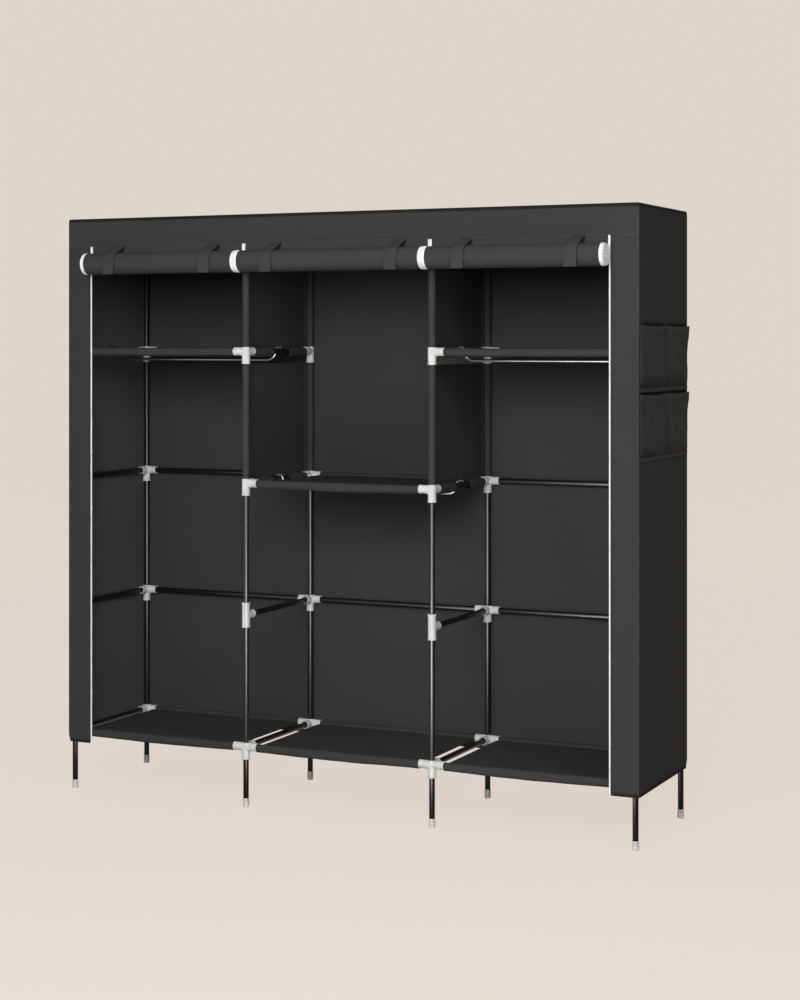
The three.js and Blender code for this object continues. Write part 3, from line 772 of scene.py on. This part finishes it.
def roll_end(bay, k, a, b, straps):
    """The pieces of a roll's left (k = 0) or right zip end, which reaches from a to b."""
    i = BAYS.index(bay)
    past = i == 2 and k == 1
    over = (0.0, 0.5, OVER_LESS, OVER_LESS) if past else (0.0,) * 3
    along = [a, a + 5.3, a + 7.3, b] if past else [a, (a + b) / 2, b]
    solid, teeth = roll_solid(along, straps, i * ROLL_SEED, over), Solid()
    s, edge, axis = (-1, b, "-x") if k else (1, a, "x")
    for step, (angle, radius, turn) in enumerate(winding()):
        if turn < 1 and step % 2 == 0:
            r, normal = radius - over[-1] + 0.1, (0, cos(angle), sin(angle))
            centre = (edge + s * 1.8, ROLL_Y + r * normal[1], ROLL_Z + r * normal[2])
            (teeth if past else solid).block(centre, (1, 0, 0), normal, ROLL_TOOTH)
    # The tapes of all the turns lie close, so the end looks full
    disc = ROLL_R - 2.2 - over[-1]
    solid.lathe((edge, ROLL_Y, ROLL_Z), axis, [(0.5, 2.0), (0.5, disc), (3.0, disc), (3.0, 2.0)], 48)
    pieces = [solid.make(f"rolled_zip_{bay}_{k + 1}", ZIP, "zip", f"door_{bay}", 60)]
    if past:
        pieces.append(teeth.make(f"rolled_teeth_{bay}", TEETH, "zip", f"door_{bay}"))
    return pieces


def hanging_door(bay, start, end):
    """The cloth between the header and the roll, with its zip tapes."""
    def hang(x, z):
        return (x, -HALF_D - 1.9 * smooth((HEADER_Z - 12 - z) / 40), z)

    i, levels = BAYS.index(bay), np.linspace(HEADER_Z - CLEAR, ROLL_Z, 15)
    rows = [[hang(x, z) for x in np.linspace(start + 1.5, end - 1.5, 30)] for z in levels]
    panel = sheet_piece(f"hanging_door_{bay}", rows, DOOR,
                        (f"door_panel_{bay}",), "door", ride=False)
    tapes = Solid()
    for x, s, wide, out in ((start, 1, 3.4 if i == 0 else 2.8, 0.5 if i == 0 else PARTING_FILL),
                            (end, -1, 1.8 if i == 2 else 2.8, 0.5 if i == 2 else PARTING_FILL)):
        tapes.cloth([[(px, -0.25 + hang(0, z)[1], z) for px in (x - s * out, x + s * 0.6, x + s * wide)]
                     for z in levels], 1.9)
    tape = tapes.make(f"hanging_zip_{bay}", ZIP, "zip", sharp=50, ride=False)
    for piece in (panel, tape):
        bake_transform(piece)


def build_doors():
    for i, bay in enumerate(BAYS):
        (start, end), straps = door_span(bay), strap_edges(bay)
        first = start + (ZIP_END_OUTER if i == 0 else ZIP_END)
        last = end - (ZIP_END_RIGHT if i == 2 else ZIP_END)
        beside = [e + d for e in straps for d in (-STRAP_W - 6, -STRAP_W + 2, -2, 6)]
        stations = sorted(set(list(np.linspace(first, last, 26)) + beside))
        roll = roll_solid(stations, straps, i * ROLL_SEED)
        roll = roll.make(f"rolled_door_{bay}", DOOR, "door", f"door_{bay}", 60, (f"door_roll_{bay}",))
        ends = roll_end(bay, 0, start if i == 0 else start - PARTING_FILL, first, straps)
        ends += roll_end(bay, 1, last, end + (OVER_ZIP if i == 2 else PARTING_FILL), straps)
        for piece in [roll] + ends:
            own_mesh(piece)
        hanging_door(bay, start, end)


def strap_path(extra):
    """The strap's line in (y, z) from the header over the roll and down, extra off its inner face."""
    seam = CLEAR + STRAP_T / 2
    root = np.array((-HALF_D - seam, HEADER_Z - seam))
    centre = np.array((ROLL_Y, ROLL_Z))
    middle = ROLL_R + STRAP_SLACK + STRAP_T / 2
    away = centre - root
    slope = atan2(away[1], away[0]) - asin(middle / np.linalg.norm(away))
    meet = slope % (2 * pi) - pi / 2
    square = np.array((cos(meet), sin(meet)))
    radius = ROLL_R + STRAP_SLACK + extra
    touch, first = centre + radius * square, root + (extra - STRAP_T / 2) * square
    path = [first + (touch - first) * k / 7 for k in range(7)]
    path += [centre + radius * np.array((cos(a), sin(a))) for a in np.linspace(meet, pi, 22)]
    return path + [np.array((ROLL_Y - radius, ROLL_Z - ROLL_R * k / 6)) for k in range(1, 7)]


def build_straps():
    roll = (0, ROLL_Y, ROLL_Z)
    for bay in BAYS:
        for k, edge in enumerate(strap_edges(bay), 1):
            body = f"strap_{bay}_{k}"
            xs = [edge - STRAP_W + d for d in (0, 0.8, 3, 12, 19, 26, 35, 37.2, 38)]
            rows = [[(x, y, z) for x in xs] for y, z in strap_path(STRAP_T)]
            # Painted shade: a dark underlay on the inner face of the slope from the header, and dark cords
            # along both edges
            shade_underlay = Solid().cloth([[(x, y, z) for x in (xs[0] + 0.4, xs[4], xs[-1] - 0.4)]
                                    for y, z in strap_path(0.5)[:9]], 0.4, roll)
            edges = Solid()
            for x in (xs[0] - 0.1, xs[-1] + 0.1):
                edges.sweep([(x, y, z) for y, z in strap_path(STRAP_T * 0.55)[1:]], 0.85, 8)
            on_it = [shade_underlay.make(f"strap_shade_underlay_{bay}_{k}", STRAP_SHADE, "strap", body),
                     edges.make(f"strap_edges_{bay}_{k}", STRAP_SHADE, "strap", body)]
            sheet_piece(f"roll_strap_{bay}_{k}", rows, STRAP,
                        (f"strap_{bay}_{k}",), "strap", body, STRAP_T - 0.1, roll)


# Shelves: cloth that wraps the front and back rails as sleeves

SLEEVE = 1.3  # the thickness of the cloth round a tube
SLEEVE_R = TUBE_R + CLEAR + CLOTH


def towards(centre, across, rows):
    """The thickness lies towards a tube, judged by the rows that pass round it."""
    def side(p, normal):
        way = (np.array(centre) - p[rows]) * np.array(across)
        return 1.0 if (normal[rows] * way).sum() > 0 else -1.0
    return side


def build_shelves():
    thread, r = Solid(), SLEEVE_R
    sleeve_half, web_half = PITCH / 2 - REACH - CLEAR, PITCH / 2 - TUBE_R - 27.0
    corner_y = ROW_Y - JOINT_R - 1.0
    # (offset from the rail towards the web, height, share of the sleeve's slack)
    around = [(r + 3.2, -2.3, 0.0), (r + 0.7, -2.6, 0.3)]
    around += [(r * cos(a), r * sin(a), 1.0) for a in np.linspace(0, -pi, 13)]
    around += [(r * cos(a), r * sin(a), 0.0) for a in np.linspace(pi, 0.1, 13)]
    around += [(r + 0.7, 0.95, 0.0), (r + 3.0, 0.8, 0.0)]
    front = [(u - ROW_Y, h, slack, 0) for u, h, slack in around]
    y = corner_y
    ys = [1 - y, 8 - y, *np.linspace(20 - y, y - 20, 20), y - 8, y - 1]
    section = front + [(y, 0.8, 0.0, 1) for y in ys] + [(-y, *rest) for y, *rest in reversed(front)]
    for level, bay in SHELVES:
        cx, z0 = BAY_X[bay], LEVEL_Z[level]
        loose = (2.4, 1.4) if level == "upper" else (3.7, 3.4)
        rows = []
        for y, h, slack, web in section:
            half = web_half if web else sleeve_half
            row = []
            for k in range(41):
                x = cx + half * (2 * k / 40 - 1)
                middle = between(x, [cx - PITCH / 2, cx + PITCH / 2])
                sag = middle * between(y, [-ROW_Y, ROW_Y]) * web
                dip = -5.5 * sag + ripple(x, y, z0, 90, 1.5, 2.0 + z0 / 50) * min(1, sag * 4)
                hang = loose[0] + loose[1] * middle + 0.9 * wave(x / 60, z0 / 40, 1.5)
                row.append((x, y, z0 + h + dip - slack * hang))
            rows.append(row)
        sheet_piece(f"shelf_cloth_{level}_{bay}", rows, SHELF,
                    (f"shelf_{level}_{bay}",), "shelf", thickness=SLEEVE,
                    toward=towards((0, -ROW_Y, z0 - 2.0), (0, 1, 1), slice(4, 26)))
        up, z = (0, 0, 1), z0 + 0.9
        for s in (-1, 1):
            thread.stitches([(cx + d, s * (corner_y - 3.0), z) for d in (4 - web_half, 0, web_half - 4)], up)
            thread.stitches([(cx + s * (web_half - 3.0), y, z) for y in (6 - corner_y, 0, corner_y - 6)], up)
    thread.make("shelf_stitching", THREAD, "shelf")


# Dividers: an upper and a lower cloth beside each inner frame, each with a sleeve round a depth tube

LOOP_END, SLEEVE_TOP = 168.0, 12.8


def upright_sleeve(solid, cx, side, low, high, seed):
    """The cloth's edge, wrapped round an upright between two connectors."""
    plane, half, r = cx - JOINT_R - CLEAR, ROW_Y - JOINT_R - CLEAR, SLEEVE_R + 0.2
    line = [(plane, half - 2.0), (plane + 0.5, half + 2.5), (cx - r - 1.2, half + 6.0)]
    line += [(cx + r * cos(a), ROW_Y + r * sin(a)) for a in np.radians(np.linspace(190, -118, 26))]
    rows = [[(x + ripple(x, side * y, z, 60, 0.25, seed), side * y, z) for z in np.linspace(low, high, 14)]
            for x, y in line]
    solid.cloth(rows, SLEEVE, towards((cx, side * ROW_Y, 0), (1, 1, 0), slice(6, 22)))


def build_dividers():
    thread, half = Solid(), ROW_Y - JOINT_R - CLEAR
    ys = np.linspace(-half, half, 33)
    parts = (("upper", "upper", HEIGHT - CLOTH - 1.2, "top"),
             ("lower", "middle", LEVEL_Z["upper"] - DROP, "upper"))
    for i, side in ((1, "left"), (2, "right")):
        cx = COLUMN_X[i]
        plane = cx - JOINT_R - CLEAR
        for part, level, top, above in parts:
            tube_z, solid = LEVEL_Z[level], Solid()
            bottom = tube_z + SLEEVE_TOP
            rows = []
            for z in np.linspace(bottom, top, 22):
                loose = [between(y, [-half, half]) * min(1.0, (z - bottom) / 60) for y in ys]
                rows.append([(plane - abs(ripple(0, y, z, 120, 1.2, 4.0 + i)) * share, y, z)
                             for y, share in zip(ys, loose)])
            solid.cloth(rows, toward=(plane - 500, 0, 1000))
            # Beside the hook's slot the cloth goes on down and round the tube
            loop = [(plane, SLEEVE_TOP), (plane, 4), (plane + 0.6, -6), (plane + 3.4, -12.5),
                    (plane + 8.5, -16.4), (cx + 1, -17.2), (cx + 6.5, -15.2), (cx + 10.0, -10), (cx + 11.2, -3),
                    (cx + 10.6, 4), (cx + 7.0, 8.8), (cx + 1, 10.6), (cx - 6, 11.6), (plane + 1.6, 13.4)]
            for a, b in ((-LOOP_END, -ROD_SLOT), (ROD_SLOT, LOOP_END)):
                solid.cloth([[(x, y, tube_z + up) for y in np.linspace(a, b, 10)] for x, up in loop], SLEEVE,
                            towards((cx, 0, tube_z), (1, 0, 1), slice(4, 9)))
            for row in (-1, 1):
                upright_sleeve(solid, cx, row, tube_z + CROWN + 1.0, LEVEL_Z[above] - DROP - 1.0, i + row)
            piece = solid.make(f"divider_cloth_{part}_{side}", INSIDE, sharp=50,
                               replaces=(f"divider_{side}",) if part == "upper" else ())
            for z in ((bottom + 3, top - 8) if part == "lower" else (bottom + 3,)):
                thread.stitches([(plane + 0.1, y, z) for y in (4 - half, 0, half - 4)], (1, 0, 0))
            for y in (3 - half, half - 3):
                thread.stitches([(plane + 0.1, y, z) for z in (bottom + 6, top - 12)], (1, 0, 0))
    thread.make("divider_stitching", THREAD)


# Hanging rods

HOOK_END = radians(128)


def build_rods():
    hook_r, half = TUBE_R + CLEAR + ROD_R, PITCH / 2
    for bay, level in RODS.items():
        cx, z0 = BAY_X[bay], LEVEL_Z[level]

        def hook(side):
            """From the bar's end up beside the tube and over it; side is 1 at the bay's left end."""
            points = [(side * (hook_r + ROD_DROP * (1 - sin(a))), -ROD_DROP * cos(a))
                      for a in np.linspace(0, pi / 2, 12)]
            points += [(side * hook_r * cos(a), hook_r * sin(a))
                       for a in np.linspace(0, HOOK_END, 16)[1:]]
            return [(cx - side * half + x, 0, z0 + z) for x, z in points]
        left, right = hook(1), hook(-1)
        bar = [(cx + (half - hook_r - ROD_DROP) * t, 0, z0 - ROD_DROP) for t in np.linspace(-1, 1, 12)[1:-1]]
        path = left[::-1] + bar + right
        Solid().sweep(path, ROD_R - 0.05, 18).make(f"rod_bar_{bay}", ROD_STEEL, "steel", f"rod_{bay}",
                                                   replaces=(f"hanging_rod_{bay}",))
        tips = Solid()
        for end in (left, right):
            last = np.array(end[-1])
            way = unit(last - end[-3])
            path = [last + way * t for t in (-5.0, -4.6, -1.0, 0.2, 0.8)]
            tips.sweep(path, [ROD_R, ROD_R + 0.3, ROD_R + 0.3, ROD_R - 0.4, ROD_R - 2.4], 18)
        tips.make(f"rod_tips_{bay}", TIP, "connector", f"rod_{bay}")


# Side pockets: two rows of two, each sewn down at its ends, its lower edge and a seam near the middle

WALL_X, HALF = HALF_W + CLEAR, HALF_D - 3.0


def pocket_share(y):
    """How far along its own pocket a place lies, from 0 at the outer end to 1 at the seam."""
    return (y + HALF) / (SEAM_Y + HALF) if y < SEAM_Y else (HALF - y) / (HALF - SEAM_Y)


def arch(share):
    return max(0.0, sin(pi * share))


def dent(y, middle, width):
    return exp(-((y - middle) / width) ** 2)


def pocket_bulge(y, w, seed):
    """How far a pocket's cloth stands off its backing; w runs from 0 at the mouth to 1 at the bottom."""
    share = pocket_share(y)
    across = arch(min(1.0, share)) ** 0.55
    if y > SEAM_Y and share < 0.5:
        open_end = 0.75 * (1 - smooth(w / 0.5))
        across = across + (1 - across) * open_end
    depth = (7.0 + 5.5 * smooth(w / 0.75)) * (1 - smooth((w - 0.86) / 0.115))
    fold = 4.2 * dent(y, SEAM_Y + 30 + 30 * w, 13) - 5.6 * dent(y, SEAM_Y + 11 + 12 * w, 9)
    fold -= 3.2 * dent(y, 60 * w - 150, 16) * smooth(w / 0.3)
    fold += 1.6 * dent(y, -60 - 20 * w, 24)
    rumple = ripple(3, y * 1.6, (1 - w) * 186, 60, 2.2, seed) + ripple(5, y, w * 372, 34, 0.7, seed + 2)
    loose = min(1.0, 3 * across) * (1 - smooth((w - 0.86) / 0.12))
    folded = (fold * (1 - smooth((w - 0.5) / 0.4)) + rumple) * loose
    return max(0.0, depth * across + folded) * (1 - 0.92 * dent(y, SEAM_Y, 5.0))


def build_pockets():
    tops, ys = (POCKET_Z, POCKET_Z - POCKET_H - POCKET_GAP), np.linspace(-HALF, HALF, 40)
    low = tops[1] - POCKET_H
    # The backing stands up to 12 mm above the upper mouths, where its painted shade lies on the wall as the
    # pockets' shadow
    high = [POCKET_Z + 1.0 + 11.0 * arch(pocket_share(y)) ** 0.7 for y in ys]
    backing = [[(WALL_X + 0.9, y, low + (z - low) * t) for y, z in zip(ys, high)]
               for t in [*np.linspace(0, 0.95, 12), 0.975, 1.0]]
    sheet_piece("pocket_backing", backing, LINING,
                ("side_pockets",), "door", thickness=0.7)
    thread = Solid()
    for row, z_top, seed in zip(("upper", "lower"), tops, (6.0, 9.5)):
        rows = []
        for w in [0, 0.01, 0.03, *np.linspace(0.06, 0.94, 28), 0.965, 0.985, 1.0]:
            line = []
            for y in np.linspace(-HALF, HALF, 75):
                lip = -3.4 * arch(abs(y) / HALF) * (1 - smooth(w / 0.3))
                short = 8.0 * smooth((w - 0.04) / 0.25) * (y + HALF) / (2 * HALF)
                line.append((WALL_X + 2.4 + pocket_bulge(y, w, seed), y - short, z_top - POCKET_H * w + lip))
            rows.append(line)
        sheet_piece(f"pocket_row_{row}", rows, POCKET, (), "door",
                    thickness=SLEEVE)
        grid = np.array(rows)
        for line in [grid[3], grid[-4]] + [grid[:, c] for c in (1, 39, 73)]:
            thread.stitches([tuple(p + (0.1, 0, 0)) for p in line], (1, 0, 0))
        hem = grid[[0, 0, 1, 2, 3, 3]].copy()
        hem[0, :, 0] -= 1.2
        hem[1:5, :, 0] += 0.55
        hem[1, :, 2] += 0.6
        Solid().cloth(hem, TAPE).make(f"pocket_hem_{row}", POCKET_HEM, "door")
        # The bound lower edge, a folded strip over the pocket's foot
        foot = [[(WALL_X + 2.6 + out + 0.3 * wave(y / 30, z, seed), y, z_top - POCKET_H + z)
                 for y in ys - 4.0 * (ys + HALF) / HALF]
                for z, out in ((-1.2, -1.4), (-1.2, 0.6), (3.0, 1.1), (8.0, 1.5), (10.0, 1.6), (10.2, 0.4))]
        Solid().cloth(foot, TAPE).make(f"pocket_foot_{row}", POCKET_HEM, "door")
    thread.make("pocket_stitching", BINDING, "door")


for build in (build_frame, build_cover, build_zips, build_doors, build_straps, build_shelves, build_dividers,
              build_rods, build_pockets):
    build()


# Floor, background, lights and camera

FLOOR_R, FLOOR_SIDES = 60.0, 96
FILL = 0.32
LAMPS = [  # name, place, aim, size and power; a gloss lamp is seen by reflections alone
    ("key_softbox", (0.9, -4.3, 2.42), (0.1, 0.0, 1.05), (2.2, 1.7), 137.0),
    ("side_softbox", (3.6, -2.4, 3.0), (0.95, 0.0, 1.3), (0.9, 0.9), 30.0),
    ("gloss_upright", (0.7, -1.55, 0.60), (0.0, 0.0, 0.60), (1.0, 1.15), 76.0),
    ("gloss_across", (-1.6, -2.6, 0.16), (-0.2, 0.0, 1.1), (3.2, 0.7), 34.0),
    ("gloss_low", (0.35, -0.85, 0.20), (0.0, 0.0, 0.20), (0.5, 0.38), 26.0),
]
scene = bpy.context.scene


def cleared(owner):
    owner.use_nodes = True
    owner.node_tree.nodes.clear()
    return Nodes(owner.node_tree)


def seen_or_not(n, light, background):
    """The background for camera, glossy and transmission rays, and the light for all others."""
    rays = n.add("ShaderNodeLightPath").outputs
    seen = n.math("MAXIMUM", rays["Is Camera Ray"], rays["Is Glossy Ray"])
    seen = n.math("MAXIMUM", seen, rays["Is Transmission Ray"])
    return n.chain("ShaderNodeMixShader", seen, light, background)


def build_floor():
    mesh = bpy.data.meshes.new("studio_floor")
    angles = [2 * pi * k / FLOOR_SIDES for k in range(FLOOR_SIDES)]
    mesh.from_pydata([(FLOOR_R * cos(a), FLOOR_R * sin(a), 0) for a in angles], [],
                     [tuple(range(FLOOR_SIDES))])
    floor = bpy.data.objects.new("studio_floor", mesh)
    scene.collection.objects.link(floor)
    material = bpy.data.materials.new("studio_floor")
    n = cleared(material)
    place = n.add("ShaderNodeTexCoord").outputs["Object"]
    far = n.add("ShaderNodeVectorMath", operation="LENGTH", Vector=place).outputs["Value"]
    fade = n.ramp(far, 1.5, 16.0, interpolation_type="SMOOTHSTEP")
    tone = n.mix(fade, (0.692, 0.624, 0.566, 1), (0.693, 0.631, 0.560, 1))
    glow = n.chain("ShaderNodeEmission", tone, 1.0)
    matte = n.chain("ShaderNodeBsdfDiffuse", colour(206, 203, 200))
    faint = n.chain("ShaderNodeBsdfDiffuse", (0.11, 0.105, 0.098, 1))
    shown = n.chain("ShaderNodeAddShader", glow, faint)
    n.add("ShaderNodeOutputMaterial", Surface=seen_or_not(n, matte, shown))
    mesh.materials.append(material)


def build_lights():
    world = bpy.data.worlds.new("studio")
    scene.world = world
    n = cleared(world)
    back = n.chain("ShaderNodeBackground", colour(222, 213, 202))
    fill = n.chain("ShaderNodeBackground", (0.99, 0.99, 0.99, 1), FILL)
    n.add("ShaderNodeOutputWorld", Surface=seen_or_not(n, fill, back))
    for name, place, aim, size, power in LAMPS:
        lamp = bpy.data.lights.new(name, "AREA")
        lamp.shape = "RECTANGLE"
        lamp.size, lamp.size_y = size
        lamp.energy = power
        obj = bpy.data.objects.new(name, lamp)
        obj.location = place
        obj.rotation_euler = (Vector(aim) - Vector(place)).to_track_quat("-Z", "Y").to_euler()
        scene.collection.objects.link(obj)
        if name.startswith("gloss"):
            obj.visible_diffuse = False
            obj.visible_camera = False


build_floor()
build_lights()

# The photo's camera: level, with its frame shifted down
camera = bpy.data.cameras.new("photo_camera")
camera.lens = 72.47
camera.sensor_width = 36.0
camera.shift_y = -0.159
camera.clip_end = 200.0
eye = bpy.data.objects.new("photo_camera", camera)
eye.location = (2.7139 + SHIFT[0], -5.5518 + SHIFT[1], 1.4159)
eye.rotation_euler = (pi / 2, 0, radians(25.14))
scene.collection.objects.link(eye)
scene.camera = eye
scene.view_settings.view_transform = "Standard"
